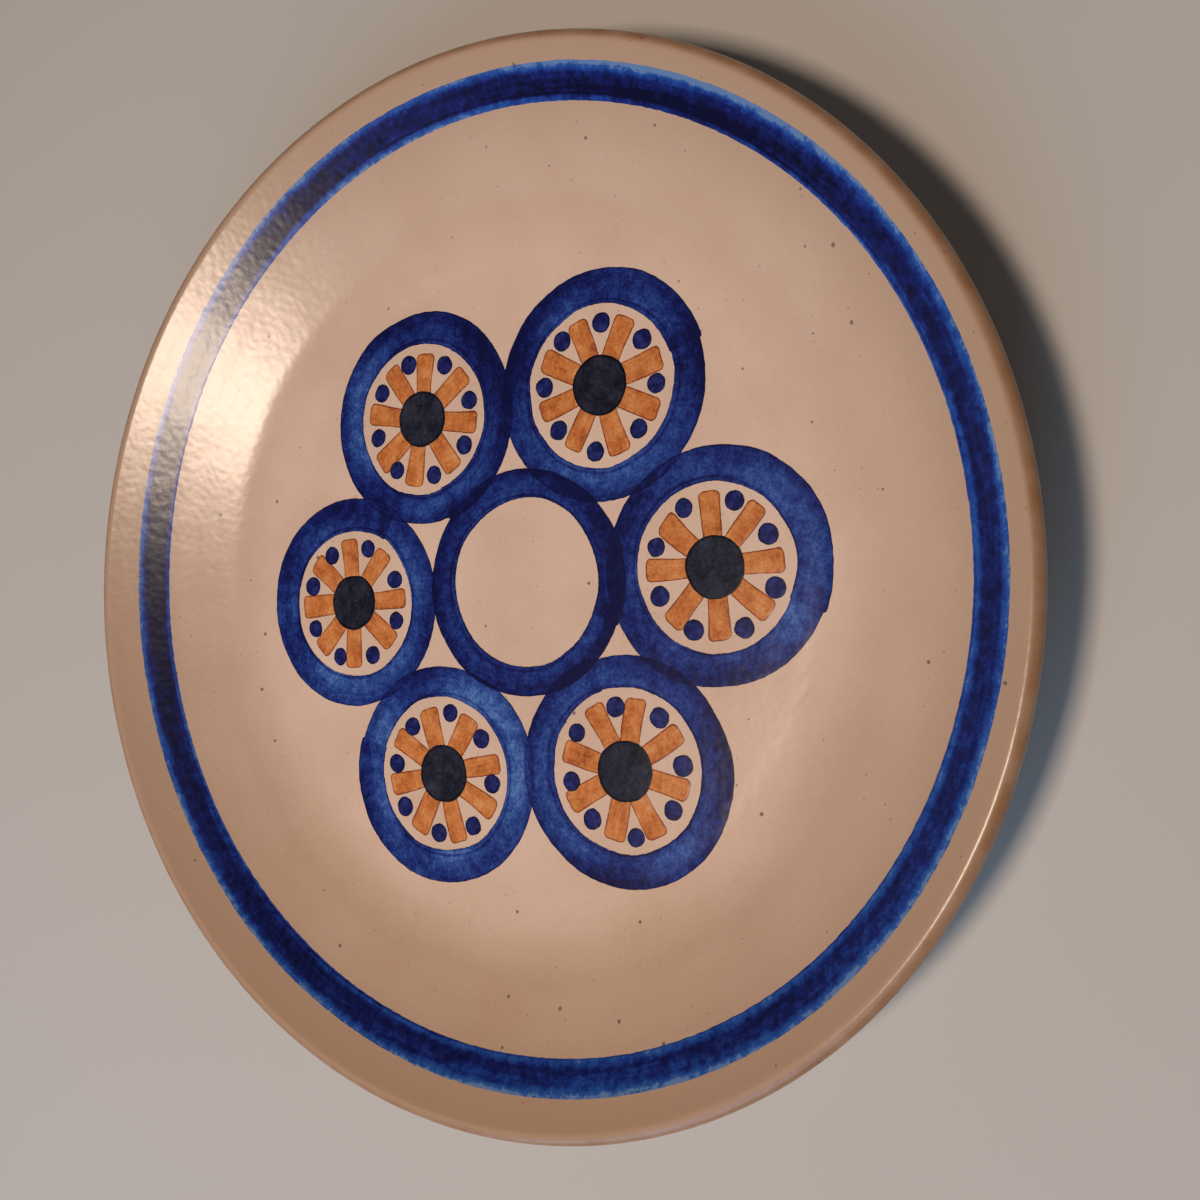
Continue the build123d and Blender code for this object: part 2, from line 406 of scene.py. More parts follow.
@dataclass(frozen=True)
class CreamGlaze:
    """Stoneware glaze, dipped and fired: warm cream, satin, softly pebbled and specked.

    It is painted darker over the bend and the steep wall as painted shade, and toasts
    to brown where it runs off the lip.
    """

    name: str = "cream_stoneware_glaze_dipped"
    clouds: tuple[tuple[float, str], ...] = ((0.44, "CBAC95"), (0.67, "D1B39D"), (0.90, "D7BAA5"))
    # Colour of the painted shade on the bend and the wall.
    wall: str = "AC8E76"
    toast: str = "906746"
    speck: str = "5C4C46"
    cloud_size: float = 24 * MM
    speck_cell: float = 17 * MM
    speck_radius: float = 0.48 * MM
    speck_share: float = 0.45
    dust_cell: float = 5.5 * MM
    dust_radius: float = 0.17 * MM
    dust_share: float = 0.30
    fine_size: float = 1.1 * MM
    fine: float = 0.35
    ragged_size: float = 7 * MM

    def specks(self, shader: Shader, cell: float, radius: float, share: float) -> Any:
        """Scatter round specks over the glaze.

        Args:
            shader: the material being wired.
            cell: about one speck to each square of this side.
            radius: the largest speck's radius.
            share: the part of the squares that hold a speck.

        Returns:
            A mask, 1 in a speck.
        """
        feeds = {"Vector": shader.place(), "Scale": 1 / cell}
        gap = shader.add("ShaderNodeTexVoronoi", feeds, "Distance", voronoi_dimensions="2D")
        tint = shader.add("ShaderNodeTexVoronoi", feeds, "Color", voronoi_dimensions="2D")
        chance = shader.add("ShaderNodeSeparateColor", {0: tint}, "Red")
        size = shader.add("ShaderNodeSeparateColor", {0: tint}, "Green")
        limit = shader.reach(size, 0.0, 1.0, 0.35 * radius / cell, radius / cell)
        edge = shader.add("ShaderNodeMath", {0: gap, 1: limit}, operation="DIVIDE")
        spot = shader.reach(edge, 0.7, 1.3, 1.0, 0.0)
        kept = shader.add("ShaderNodeMath", {0: chance, 1: share}, operation="LESS_THAN")
        return shader.add("ShaderNodeMath", {0: spot, 1: kept}, operation="MULTIPLY")

    def make(self) -> bpy.types.Material:
        """Wire the material."""
        shader = Shader(self.name)
        cloud = shader.grain(self.cloud_size, 4.0)
        fine = {0: shader.grain(self.fine_size), 1: self.fine, 2: cloud}
        blend = shader.add("ShaderNodeMath", fine, operation="MULTIPLY_ADD")
        colour = shader.add("ShaderNodeValToRGB", {0: blend}, stops=list(self.clouds))
        # Painted shade: the glaze colour darkens over the bend and more so up the wall.
        painted_wall_shade = shader.add("ShaderNodeAttribute", out="Fac", attribute_name="painted_wall_shade")
        colour = shader.mix(painted_wall_shade, colour, self.wall)

        # The toast follows the lip's outer half and comes and goes a little along it.
        lip = shader.add("ShaderNodeAttribute", out="Fac", attribute_name="toast")
        ragged = shader.grain(self.ragged_size, 3.0)
        ragged = shader.reach(ragged, NOISE_LOW, NOISE_HIGH, 0.60, 1.00)
        toasted = shader.add("ShaderNodeMath", {0: lip, 1: ragged}, operation="MULTIPLY")
        colour = shader.mix(toasted, colour, self.toast)

        specks = self.specks(shader, self.speck_cell, self.speck_radius, self.speck_share)
        dust = self.specks(shader, self.dust_cell, self.dust_radius, self.dust_share)
        marks = shader.add("ShaderNodeMath", {0: specks, 1: dust}, operation="MAXIMUM")
        marks = shader.add("ShaderNodeMath", {0: marks, 1: 0.8}, operation="MULTIPLY")
        colour = shader.mix(marks, colour, self.speck)
        return shader.glossed(colour)


@dataclass(frozen=True)
class BrushedStain:
    """Ceramic stain brushed on the glaze and fired into it.

    The brush leaves it thick where it stops and thin where it travels, so it is cloudy
    and grainy, faintly streaked along the stroke and drawn darker at its edges. The ramp
    runs from thin colour to thick, level is the usual place on it, and each weight says
    how far its effect moves that place. Widths at an edge are in millimetres.
    """

    name: str
    ramp: tuple[tuple[float, str], ...]
    level: float = 0.5
    cloud_size: float = 2.6 * MM
    cloud: float = 0.26
    grain_size: float = 0.80 * MM
    grain: float = 0.24
    streak: float = 0.10
    pool: float = 0.26
    pool_width: float = 0.50
    halo: float = 0.0
    halo_width: float = 1.8
    double: float = 0.18
    seam: float = 0.20
    bristle: float = 0.24

    def make(self) -> bpy.types.Material:
        """Wire the material."""
        shader = Shader(self.name)
        edge, wash, other, bristle = [
            shader.add("ShaderNodeAttribute", out="Fac", attribute_name=name) for name in NUMBERS
        ]
        brush = shader.add("ShaderNodeAttribute", out="Vector", attribute_name="brush")
        seam, line = [
            shader.add("ShaderNodeMath", {0: value}, operation="ABSOLUTE")
            for value in (other, bristle)
        ]
        streaks = shader.add("ShaderNodeTexNoise", {"Vector": brush, "Scale": 1.0, "Detail": 2.0})
        clouds = shader.grain(self.cloud_size, 3.0, rough=0.55)
        grains = shader.grain(self.grain_size, 2.0, rough=0.6)

        total = shader.add("ShaderNodeMath", {0: wash, 1: self.level}, operation="ADD")
        terms = [
            (shader.reach(clouds, NOISE_LOW, NOISE_HIGH, -0.5, 0.5), self.cloud),
            (shader.reach(grains, NOISE_LOW, NOISE_HIGH, -0.5, 0.5), self.grain),
            (shader.reach(streaks, NOISE_LOW, NOISE_HIGH, -0.5, 0.5), self.streak),
            (shader.reach(edge, 0.0, self.pool_width, 1.0, 0.0), self.pool),
            (shader.reach(edge, 0.0, self.halo_width, 1.0, 0.0), -self.halo),
            (shader.reach(other, -0.10, 0.25), self.double),
            (shader.reach(seam, 0.10, 0.40, 1.0, 0.0), self.seam),
            (shader.reach(line, 0.10, 0.50, 1.0, 0.0), self.bristle),
        ]
        for term, weight in terms:
            total = shader.add("ShaderNodeMath", {0: term, 1: weight, 2: total},
                               operation="MULTIPLY_ADD")
        colour = shader.add("ShaderNodeValToRGB", {0: total}, stops=list(self.ramp))
        return shader.glossed(colour)


@dataclass(frozen=True)
class BareClay:
    """Stoneware clay, turned on the foot and fired unglazed: warm buff, dry and gritty."""

    name: str = "buff_stoneware_turned_bare"
    dark: str = "A27C5A"
    light: str = "C09A76"
    grit: float = 0.6 * MM

    def make(self) -> bpy.types.Material:
        """Wire the material."""
        shader = Shader(self.name)
        grit = shader.grain(self.grit, 3.0, rough=0.6)
        cloud = shader.grain(9 * MM, 2.0)
        blend = shader.add("ShaderNodeMath", {0: grit, 1: cloud}, operation="ADD")
        half = shader.add("ShaderNodeMath", {0: blend, 1: 0.5}, operation="MULTIPLY")
        ramp = [(0.40, self.dark), (0.60, self.light)]
        colour = shader.add("ShaderNodeValToRGB", {0: half}, stops=ramp)
        bump = {"Height": grit, "Distance": 0.08 * MM, "Strength": 1.0}
        return shader.surface({
            "Base Color": colour, "Roughness": 0.85,
            "Normal": shader.add("ShaderNodeBump", bump),
        })


# Cobalt wash: mid blue where the brush ran thin, navy where it was loaded.
COBALT = BrushedStain(
    "cobalt_wash_brushed",
    ((0.0, "567AB4"), (0.25, "365496"), (0.50, "22387C"), (0.75, "16205E"), (1.0, "0E113E")),
    level=0.58,
)
# Cobalt banded on the wheel: a loaded middle that the turning plate draws out at both edges.
COBALT_BAND = BrushedStain(
    "cobalt_band_wheel_brushed",
    ((0.0, "5E7CA8"), (0.16, "2A549A"), (0.42, "1B3C88"), (0.66, "131E5E"), (1.0, "090B2E")),
    level=0.80, grain=0.16, streak=0.16, pool=0.0, halo=0.62, halo_width=2.6,
)
# Cobalt dots, one touch of a loaded brush: dense and nearly even.
COBALT_DOT = BrushedStain(
    "cobalt_dot_brushed",
    ((0.0, "323A7C"), (0.45, "1B1F56"), (0.80, "101236"), (1.0, "0A0B24")),
    level=0.42, cloud=0.30, streak=0.0, pool=0.40, pool_width=0.60, bristle=0.0,
)
# Iron orange stain: translucent and grainy, with a rust brown line where it dried last.
ORANGE = BrushedStain(
    "iron_orange_stain_brushed",
    ((0.0, "D89A66"), (0.28, "CA8048"), (0.52, "BC6E38"), (0.78, "9C4F28"), (1.0, "7A3A20")),
    level=0.42, cloud=0.30, grain=0.26, streak=0.12, pool=0.70, bristle=0.0,
)
# Blue-black stain, laid thick over the petals' roots.
BLUE_BLACK = BrushedStain(
    "blue_black_stain_brushed",
    ((0.0, "383948"), (0.40, "252735"), (0.75, "141622"), (1.0, "0A0B14")),
    level=0.46, cloud=0.30, grain=0.30, streak=0.0, pool=0.50, pool_width=0.90, bristle=0.0,
)


# ------------------------------------------------------------------ body and glaze
@dataclass
class ClayBody:
    """The thrown body: hidden under glaze but for the foot ring's standing face."""

    form: PlateForm
    steps: int = 360

    def section(self) -> Section:
        """The body's outline under the glaze, from the axis over the face and back."""
        form = self.form
        slope = math.degrees(form.wall_slope)
        flat, bend_z = form.bend_centre
        under = form.foot_height + form.glaze
        face_bend = form.bend_radius + form.glaze
        back_bend = form.bend_radius + form.thickness - form.glaze
        flare = math.tan(form.foot_draft)
        edge = form.foot_edge
        inset = 0.8 * edge
        return [
            (0.0, form.well_top - form.glaze),
            *arc((flat, bend_z), face_bend, -90, slope - 90, 12),
            *arc(form.lip, form.lip_radius - form.glaze, slope + 90, slope - 90, 12),
            *arc((flat, bend_z), back_bend, slope - 90, -90, 12),
            (form.foot_outer + under * flare, under),
            *arc((form.foot_outer - inset, edge), edge, 0, -90, 4),
            *arc((form.foot_inner + inset, edge), edge, 270, 180, 4),
            (form.foot_inner - under * flare, under),
            (0.0, under),
        ]

    def build(self, material: bpy.types.Material) -> None:
        """Turn the body and let its rim down with the glaze's."""
        mesh = bmesh.new()
        spin_section(mesh, self.section(), self.steps, closed=False)
        for vert in mesh.verts:
            vert.co.z += self.form.warp(vert.co.x, vert.co.y)
        finish_piece(mesh, "stoneware_body", material, "clay_body")


@dataclass
class GlazeCoats:
    """The glaze on the face, on the back and inside the foot ring."""

    form: PlateForm
    steps: int = 480
    toast_width: float = 1.6 * MM
    root_round: float = 0.8 * MM
    spiral_pitch: float = 4.6 * MM
    spiral_depth: float = 0.045 * MM

    def coat(self, name: str, node: str, section: Section, material: bpy.types.Material,
             closed: bool, unevenness: Callable[[Vector], float]) -> None:
        """Turn one coat, make it uneven, mark where it toasts and where painted shade darkens it.

        Args:
            name: the piece's name.
            node: the CAD node that it replaces.
            section: its outline, as radius and height.
            material: the glaze.
            closed: True for an outline that stays clear of the axis.
            unevenness: how far a vertex is lifted.
        """
        mesh = bmesh.new()
        spin_section(mesh, section, self.steps, closed)
        toast = mesh.verts.layers.float.new("toast")
        painted_wall_shade = mesh.verts.layers.float.new("painted_wall_shade")
        for vert in mesh.verts:
            radius = vert.co.xy.length
            # Painted shade mask: some over the bend, most up the wall.
            bend = smooth(80 * MM, 98 * MM, radius)
            wall = smooth(100 * MM, 128 * MM, radius)
            vert[painted_wall_shade] = 0.4 * bend + 0.6 * wall
            crest, middle = self.form.lip
            outside = smooth(crest - 0.4 * self.toast_width, crest + 0.8 * self.toast_width, radius)
            vert[toast] = outside * smooth(middle - self.toast_width, middle, vert.co.z)
            vert.co.z += unevenness(vert.co)
        finish_piece(mesh, name, material, node)

    def face(self, material: bpy.types.Material) -> None:
        """The face, from the middle of the well round to the lip's widest point."""
        form = self.form
        slope = math.degrees(form.wall_slope)
        centre = form.bend_centre
        top = arc(centre, form.bend_radius, -90, slope - 90, 26)
        lip = arc(form.lip, form.lip_radius, slope + 90, 0, 14)
        section = [
            (0.0, form.well_top),
            *straight((0.0, form.well_top), top[0], 70),
            *top,
            *straight(top[-1], lip[0], 34),
            *lip,
            *arc(form.lip, form.lip_radius - form.glaze, 0, slope + 90, 6),
            *arc(centre, form.bend_radius + form.glaze, slope - 90, -90, 6),
            (0.0, form.well_top - form.glaze),
        ]
        self.coat("face_glaze", "glaze_face", section, material, False,
                  lambda p: form.uneven(p.x, p.y))

    def back(self, material: bpy.types.Material) -> None:
        """The back, from the lip's widest point down to the foot ring's outer flank."""
        form = self.form
        slope = math.degrees(form.wall_slope)
        centre = form.bend_centre
        flare = math.tan(form.foot_draft)
        under, deep, line = form.foot_height, form.foot_height + form.glaze, form.glaze_line
        out_bend = form.bend_radius + form.thickness
        corner = self.root_round
        outside = arc(centre, out_bend, slope - 90, -90, 22)
        lip = arc(form.lip, form.lip_radius, 0, slope - 90, 10)
        root = (form.foot_outer + form.glaze + under * flare, under)
        section = [
            *lip,
            *straight(lip[-1], outside[0], 24),
            *outside,
            *arc((root[0] + corner, under - corner), corner, 90, 180, 4),
            *straight(root, (form.foot_outer + form.glaze + line * flare, line), 4),
            (form.foot_outer + form.glaze + line * flare, line),
            (form.foot_outer + line * flare, line),
            (form.foot_outer + deep * flare, deep),
            *arc(centre, out_bend - form.glaze, -90, slope - 90, 8),
            *arc(form.lip, form.lip_radius - form.glaze, slope - 90, 0, 6),
        ]
        self.coat("back_glaze", "glaze_back", section, material, True,
                  lambda p: form.warp(p.x, p.y) + self.turning(p))

    def base(self, material: bpy.types.Material) -> None:
        """The patch inside the foot ring."""
        form = self.form
        flare = math.tan(form.foot_draft)
        under, deep, line = form.foot_height, form.foot_height + form.glaze, form.glaze_line
        inner = form.foot_inner - form.glaze
        section = [
            (0.0, under),
            *straight((0.0, under), (inner - under * flare, under), 60),
            (inner - under * flare, under),
            (inner - line * flare, line),
            (form.foot_inner - line * flare, line),
            (form.foot_inner - deep * flare, deep),
            (0.0, deep),
        ]
        self.coat("base_glaze", "glaze_base", section, material, False, self.turning)

    def turning(self, place: Vector) -> float:
        """The spiral that the turning tool leaves under the plate, softened by glaze."""
        radius = place.xy.length
        inside = smooth(4 * MM, 12 * MM, radius)
        fade = 1.0 - smooth(self.form.rim_radius - 20 * MM, self.form.rim_radius - 8 * MM, radius)
        near_foot = abs(radius - (self.form.foot_inner + self.form.foot_outer) / 2)
        clear = smooth(4 * MM, 9 * MM, near_foot)
        spiral = radius * math.tau / self.spiral_pitch + math.atan2(place.y, place.x)
        return self.spiral_depth * math.sin(spiral) * inside * fade * clear


# ------------------------------------------------------------------ brushwork
EDGE_ROUND = 0.50 * MM    # how far in from its edge a stroke reaches its full height
SUNK = 0.10 * MM          # how deep a stroke's hidden side lies in the glaze
NO_BRISTLE = 9.0          # a stray bristle's line too far off to show
UNCOVERED = -1.0          # not over any other stroke


@dataclass
class WheelStroke:
    """A stroke drawn in a circle: a ring, a band, or a filled touch of the brush.

    Its edges waver and are ragged, and a ring's ends meet at the joint with a small step.
    Its load drifts, has an extra share of its own and grows outwards. Its edge stands low
    on the glaze, and it may lie over the strokes under it.
    """

    form: PlateForm
    centre: tuple[float, float]
    outer: float
    inner: float
    height: float
    seed: float
    waver: float = 0.38 * MM
    ragged: float = 0.08 * MM
    step: float = 0.0
    joint: float = 0.0
    steps: int = 420
    across_parts: int = 16
    drift: float = 0.30
    extra: float = 0.0
    outwards: float = 0.26
    low: float = 0.010 * MM
    under: list["WheelStroke"] = field(default_factory=list)
    bristle_size: float = 1.6 * MM
    streak_length: float = 14 * MM
    streak_width: float = 0.9 * MM

    def edge_radius(self, angle: float, side: int) -> float:
        """Radius of one hand-drawn edge.

        Args:
            angle: direction from the stroke's centre, in radians.
            side: 1 for the outer edge, 0 for the inner one.

        Returns:
            The radius there, with the brush's waver and the jog where it starts again.
        """
        seed = self.seed + 17.3 * side
        slow = self.waver * wander(angle, 6, seed) + 0.5 * self.waver * wander(angle, 17, seed + 5)
        rough = self.ragged * wander(angle, math.tau * self.outer / self.bristle_size, seed + 9)
        turned = ((angle - self.joint) % math.tau) / math.tau
        jog = self.step * (0.5 - turned) * (1 if side else -0.6)
        return (self.outer if side else self.inner) + slow + rough + jog

    def load(self, angle: float, across: float) -> float:
        """How much more colour than usual the brush held at a place on the stroke."""
        reach = Vector((math.cos(angle), math.sin(angle), 0.0)) * 1.3
        drift = noise.noise(reach + Vector((0, 0, across * 0.9 + self.seed)))
        tilt = noise.noise(reach * 0.6 + Vector((0, 0, self.seed + 31)))
        turned = (angle - self.joint) % math.tau
        fresh = 0.16 * (1 - smooth(0.10, 0.22, turned)) if self.step else 0.0
        outwards = self.outwards * (smooth(0.25, 0.95, across) - 0.4) if self.inner else 0.0
        uneven = self.drift * (1.6 * drift + 1.2 * tilt * (across - 0.5))
        return self.extra + uneven + outwards + fresh

    def covered(self, x: float, y: float) -> float:
        """How far inside the edge of a stroke underneath a place is, in millimetres."""
        deepest = UNCOVERED
        for stroke in self.under:
            away = Vector((x - stroke.centre[0], y - stroke.centre[1]))
            angle = math.atan2(away.y, away.x)
            inside = (stroke.edge_radius(angle, 1) - away.length) / MM
            hollow = (away.length - stroke.edge_radius(angle, 0)) / MM
            if hollow > 0:
                deepest = max(deepest, inside)
        return deepest

    def shape(self, mesh: bmesh.types.BMesh) -> None:
        """Add the stroke to a mesh, laid on the plate's face.

        Args:
            mesh: a mesh with the layers of make_layers.
        """
        draft = bmesh.new()
        layers = make_layers(draft)
        ring = self.inner > 0
        spread = [i / self.across_parts for i in range(self.across_parts + 1)]
        if ring:
            spread = [(1 - math.cos(math.pi * t)) / 2 for t in spread]
        else:
            spread = [math.sin(math.pi / 2 * t) for t in spread]
        top = [(self.inner + (self.outer - self.inner) * t, 1.0) for t in spread]
        section = top + [(self.outer, 0.0), (self.inner, 0.0)]
        spin_section(draft, section, self.steps, ring, self.centre)
        for vert in draft.verts:
            away = Vector((vert.co.x - self.centre[0], vert.co.y - self.centre[1]))
            across = (away.length - self.inner) / (self.outer - self.inner)
            angle = math.atan2(away.y, away.x)
            inner = self.edge_radius(angle, 0) if ring else 0.0
            outer = self.edge_radius(angle, 1)
            radius = inner + (outer - inner) * across
            near = min(outer - radius, radius - inner) if ring else outer - radius
            x = self.centre[0] + radius * math.cos(angle)
            y = self.centre[1] + radius * math.sin(angle)
            lay_vertex(vert, layers, self.form, x, y, near, self.low, self.height)
            vert[layers["wash"]] = self.load(angle, across)
            strayed = 0.8 + 1.1 * wander(angle, 2.5, self.seed + 50)
            vert[layers["bristle"]] = (radius - inner) / MM - strayed if ring else NO_BRISTLE
            vert[layers["other"]] = self.covered(x, y)
            turn = self.outer / self.streak_length
            vert[layers["brush"]] = (math.cos(angle) * turn, math.sin(angle) * turn + self.seed,
                                     radius / self.streak_width)
        join(mesh, draft)

    def paint(self, name: str, material: bpy.types.Material, node: str) -> None:
        """Finish the stroke as a cobalt piece of its own."""
        mesh = bmesh.new()
        make_layers(mesh)
        self.shape(mesh)
        finish_piece(mesh, name, material, node)


@dataclass
class PulledStroke:
    """One pull of a flat brush: a petal.

    It bows to a side, swells towards its tip, ends on a slant and is frayed by bristles.
    """

    form: PlateForm
    centre: tuple[float, float]
    angle: float
    root: float
    tip: float
    width: float
    corner: float
    height: float
    seed: float
    low: float = 0.012 * MM
    parts: tuple[int, int] = (26, 14)
    bow: float = 0.35 * MM
    slant: float = 0.10
    fray: float = 0.14 * MM
    bristle_size: float = 1.1 * MM
    streak_length: float = 7 * MM
    streak_width: float = 0.8 * MM

    def shape(self, mesh: bmesh.types.BMesh) -> None:
        """Add the petal to a mesh, laid on the plate's face."""
        draft = bmesh.new()
        layers = make_layers(draft)
        bmesh.ops.create_grid(draft, x_segments=self.parts[0], y_segments=self.parts[1], size=1)
        bmesh.ops.solidify(draft, geom=draft.faces[:], thickness=1.0)
        bmesh.ops.recalc_face_normals(draft, faces=draft.faces)
        low = min(vert.co.z for vert in draft.verts)
        length = self.tip - self.root
        for vert in draft.verts:
            top = vert.co.z > low + 0.5
            share = math.sin(math.pi / 2 * vert.co.x)
            along = (share + 1) / 2 * length
            side = math.sin(math.pi / 2 * vert.co.y) * self.width / 2
            along, side, near = self.rounded(along, side, length)
            reach = along / length
            bow = self.bow * wander(reach, 6, self.seed)
            swell = 0.88 + 0.20 * reach + 0.06 * wander(1.3 * reach, 7, self.seed + 4)
            slant = self.slant * wander(0.5, 6, self.seed + 8) * reach * side
            rough = self.frayed(along, side)
            along += slant + (rough if reach > 0.9 else 0.0)
            side = side * swell + bow + math.copysign(rough, side) * abs(side) / self.width * 2
            out = self.root + along
            x = self.centre[0] + out * math.cos(self.angle) - side * math.sin(self.angle)
            y = self.centre[1] + out * math.sin(self.angle) + side * math.cos(self.angle)
            vert.co.z = 1.0 if top else 0.0
            lay_vertex(vert, layers, self.form, x, y, near, self.low, self.height)
            vert[layers["bristle"]] = NO_BRISTLE
            puddle = Vector((along / (5 * MM), side / (4 * MM), self.seed))
            vert[layers["wash"]] = 0.30 * noise.noise(puddle)
            vert[layers["other"]] = UNCOVERED
            vert[layers["brush"]] = (along / self.streak_length, self.seed, side / self.streak_width)
        join(mesh, draft)

    def rounded(self, along: float, side: float, length: float) -> tuple[float, float, float]:
        """Round the tip's two corners.

        Args:
            along: distance from the petal's root.
            side: distance from its middle line.
            length: the petal's length.

        Returns:
            The moved place and its distance to the petal's edge.
        """
        half = self.width / 2
        over = Vector((
            max(along - (length - self.corner), 0.0), max(abs(side) - (half - self.corner), 0.0),
        ))
        if over.x > 0 and over.y > 0:
            pull = max(over) / over.length
            near = self.corner - over.length * pull
            along = length - self.corner + over.x * pull
            side = math.copysign(half - self.corner + over.y * pull, side)
            return along, side, near
        return along, side, min(half - abs(side), length - along)

    def frayed(self, along: float, side: float) -> float:
        """The small uneven reach of the bristles at the petal's edge."""
        place = Vector((along / self.bristle_size, side / self.bristle_size, self.seed * 3))
        return self.fray * noise.noise(place)


Layers = dict[str, Any]


def make_layers(mesh: bmesh.types.BMesh) -> Layers:
    """Give a mesh the values that the stains read at each vertex.

    Args:
        mesh: the mesh to add them to.

    Returns:
        The layers by name: edge is the distance in from the stroke's edge and other the
        distance in from an edge underneath, both in millimetres, wash is the brush's
        load, bristle the distance in millimetres from the line that a stray bristle
        leaves, and brush runs along and across the stroke.
    """
    numbers = {name: mesh.verts.layers.float.new(name) for name in NUMBERS}
    return {**numbers, "brush": mesh.verts.layers.float_vector.new("brush")}


def lay_vertex(vert: bmesh.types.BMVert, layers: Layers, form: PlateForm, x: float, y: float,
               near: float, low: float, height: float) -> None:
    """Put a stroke's vertex on the face.

    Args:
        vert: a vertex whose height is 1 on the stroke's upper side and 0 below.
        layers: the mesh's layers.
        form: the plate.
        x: where it lies.
        y: where it lies.
        near: distance in from the stroke's edge.
        low: how far the stroke's edge stands on the glaze.
        height: how far its middle does.
    """
    lift = low + (height - low) * smooth(0.0, EDGE_ROUND, near) if vert.co.z > 0.5 else -SUNK
    vert.co = (x, y, form.face(x, y) + lift)
    vert[layers["edge"]] = near / MM


def join(mesh: bmesh.types.BMesh, draft: bmesh.types.BMesh) -> None:
    """Add a finished draft to a mesh with the same layers."""
    data = bpy.data.meshes.new("draft")
    draft.to_mesh(data)
    draft.free()
    mesh.from_mesh(data)
    bpy.data.meshes.remove(data)


def circle_of(node: str) -> tuple[tuple[float, float], float]:
    """Plan centre and radius of a round CAD node."""
    low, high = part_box(node)
    middle = (low + high) / 2
    return (middle.x, middle.y), max(high.x - low.x, high.y - low.y) / 2


@dataclass
class RimBand:
    """The line banded under the rim while the plate turned."""

    form: PlateForm
    width: float = 7.8 * MM
    seed: float = 40.0

    def build(self, material: bpy.types.Material) -> None:
        """Draw the band where the frame has it."""
        centre, radius = circle_of("rim_band")
        WheelStroke(
            self.form, centre, radius, radius - self.width, Coat.RING.value, self.seed,
            waver=0.16 * MM, steps=1080, outwards=-0.22,
        ).paint("rim_line", material, "rim_band")


@dataclass
class Flower:
    """What one roundel holds: an eye, eight petals and eight dots."""

    form: PlateForm
    index: int
    turn: float
    petals: int = 8
    petal_root: float = 5.2 * MM
    petal_tip: float = 17.7 * MM
    petal_width: float = 5.5 * MM
    petal_corner: float = 1.5 * MM
    dot_radius: float = 2.45 * MM
    dot_orbit: float = 15.6 * MM
    angle_spread: float = math.radians(3.0)
    tip_spread: float = 0.7 * MM
    width_spread: float = 0.45 * MM
    orbit_spread: float = 0.5 * MM
    dot_spread: float = 0.2 * MM
    petal_level: float = 0.002 * MM

    def chance(self, which: int, kind: float) -> float:
        """A steady random value from -1 to 1 for one stroke."""
        return 1.8 * noise.noise(Vector((which * 3.71 + 0.37, self.index * 5.13, kind)))

    def build(self, stains: dict[Slot, bpy.types.Material], dot_stain: bpy.types.Material) -> None:
        """Paint the petals, the dots and then the eye over the petals' roots."""
        number = self.index + 1
        centre, eye_radius = circle_of(f"flower_eye_{number}")
        petals, dots, eye = bmesh.new(), bmesh.new(), bmesh.new()
        for mesh in (petals, dots, eye):
            make_layers(mesh)
        pitch = math.tau / self.petals
        for k in range(self.petals):
            angle = self.turn + k * pitch
            seed = 100 * number + 10.7 * k
            PulledStroke(
                self.form, centre, angle + self.angle_spread * self.chance(k, 0.0),
                self.petal_root, self.petal_tip + self.tip_spread * self.chance(k, 1.0),
                self.petal_width + self.width_spread * self.chance(k, 2.0),
                self.petal_corner, Coat.PETAL.value + k * self.petal_level, seed,
            ).shape(petals)
            dot_angle = angle + pitch / 2 + self.angle_spread * self.chance(k, 3.0)
            orbit = self.dot_orbit + self.orbit_spread * self.chance(k, 4.0)
            place = (centre[0] + orbit * math.cos(dot_angle), centre[1] + orbit * math.sin(dot_angle))
            WheelStroke(
                self.form, place, self.dot_radius + self.dot_spread * self.chance(k, 5.0), 0.0,
                Coat.DOT.value, seed + 3, waver=0.13 * MM, ragged=0.04 * MM, steps=48,
                across_parts=6, drift=0.20, low=0.058 * MM,
            ).shape(dots)
        WheelStroke(
            self.form, centre, eye_radius, 0.0, Coat.EYE.value, 7.0 * number,
            waver=0.18 * MM, ragged=0.05 * MM, steps=120, across_parts=12, drift=0.20,
            low=0.060 * MM,
        ).shape(eye)
        orange, black = stains[Slot.ORANGE], stains[Slot.BLACK]
        finish_piece(petals, f"petal_strokes_{number}", orange, f"petals_{number}")
        finish_piece(dots, f"dot_touches_{number}", dot_stain, f"dots_{number}")
        finish_piece(eye, f"eye_{number}", black, f"flower_eye_{number}")


